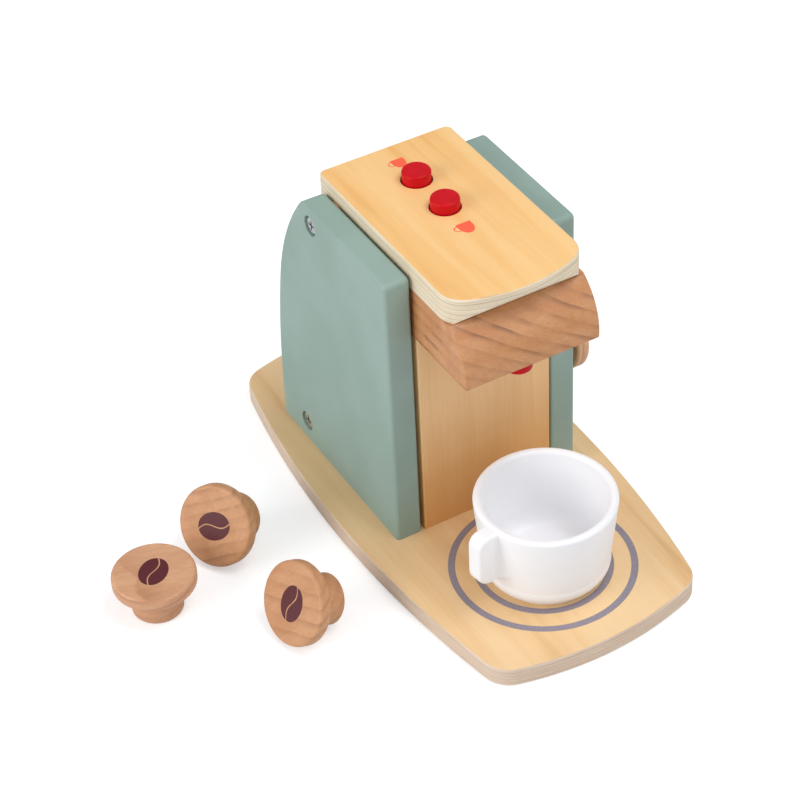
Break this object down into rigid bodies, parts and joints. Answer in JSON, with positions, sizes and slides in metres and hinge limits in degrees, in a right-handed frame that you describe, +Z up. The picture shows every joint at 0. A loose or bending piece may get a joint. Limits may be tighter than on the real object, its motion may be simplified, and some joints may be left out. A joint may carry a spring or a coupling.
{
  "type": "toy coffee maker",
  "caption": "Wooden toy coffee maker on a bowed base, with two spring buttons, a spout, a side capsule socket, loose mushroom capsules and a cup to push under the head.",
  "frame": {"origin": "centre of the base board's underside", "axes": "+Z up; -Y is the machine's front, where the cup stands under the spout; +X is the machine's right seen from the front, the side with the capsule socket"},
  "size_m": [0.224, 0.237, 0.1551],
  "materials": {
    "base_plywood": "clear satin lacquer on plywood",
    "top_plywood": "clear satin lacquer on plywood",
    "panel_plywood": "clear satin lacquer on plywood",
    "green_paint": "satin grey-green paint on board",
    "beech": "clear satin lacquer on beech",
    "beech_capsule": "clear satin lacquer on turned beech",
    "red_lacquer": "red gloss lacquer on turned wood",
    "zinc_steel": "zinc plated",
    "spring_steel": "bright drawn wire",
    "white_cup": "smooth white"
  },
  "bodies": {
    "machine": {"base_board": "base_plywood", "side_panel_left": "green_paint", "side_panel_right": "green_paint", "front_panel": "panel_plywood", "head_block": "beech", "top_plate": "top_plywood", "spout": "red_lacquer", "rear_rail": "beech", "head_plugs": "beech", "head_dowels": "beech", "panel_screws": "zinc_steel", "base_screws": "zinc_steel", "button_spring_front": "spring_steel", "button_spring_rear": "spring_steel"},
    "button_front": {"button_front": "red_lacquer"},
    "button_rear": {"button_rear": "red_lacquer"},
    "capsule_seated": {"capsule_seated": "beech_capsule"},
    "capsule_a": {"capsule_a": "beech_capsule"},
    "capsule_b": {"capsule_b": "beech_capsule"},
    "capsule_c": {"capsule_c": "beech_capsule"},
    "cup": {"cup": "white_cup"}
  },
  "joints": [
    {"name": "front_button_press", "type": "slide", "parent": "machine", "child": "button_front", "axis": [0, 0, -1], "range_m": [0, 0.0035], "stiffness_N_per_m": 250, "springref_m": -0.002, "deforming": ["button_spring_front"]},
    {"name": "rear_button_press", "type": "slide", "parent": "machine", "child": "button_rear", "axis": [0, 0, -1], "range_m": [0, 0.0035], "stiffness_N_per_m": 250, "springref_m": -0.002, "deforming": ["button_spring_rear"]},
    {"name": "seated_capsule_pull", "type": "slide", "parent": "machine", "child": "capsule_seated", "axis": [1, 0, 0], "range_m": [0, 0.03]},
    {"name": "cup_draw_out", "type": "slide", "parent": "machine", "child": "cup", "axis": [0, -1, 0], "range_m": [0, 0.1]},
    {"name": "capsule_a_lift", "type": "slide", "parent": "machine", "child": "capsule_a", "axis": [0, 0, 1], "range_m": [0, 0.16]},
    {"name": "capsule_b_lift", "type": "slide", "parent": "machine", "child": "capsule_b", "axis": [0, 0, 1], "range_m": [0, 0.16]},
    {"name": "capsule_c_lift", "type": "slide", "parent": "machine", "child": "capsule_c", "axis": [0, 0, 1], "range_m": [0, 0.16]}
  ]
}
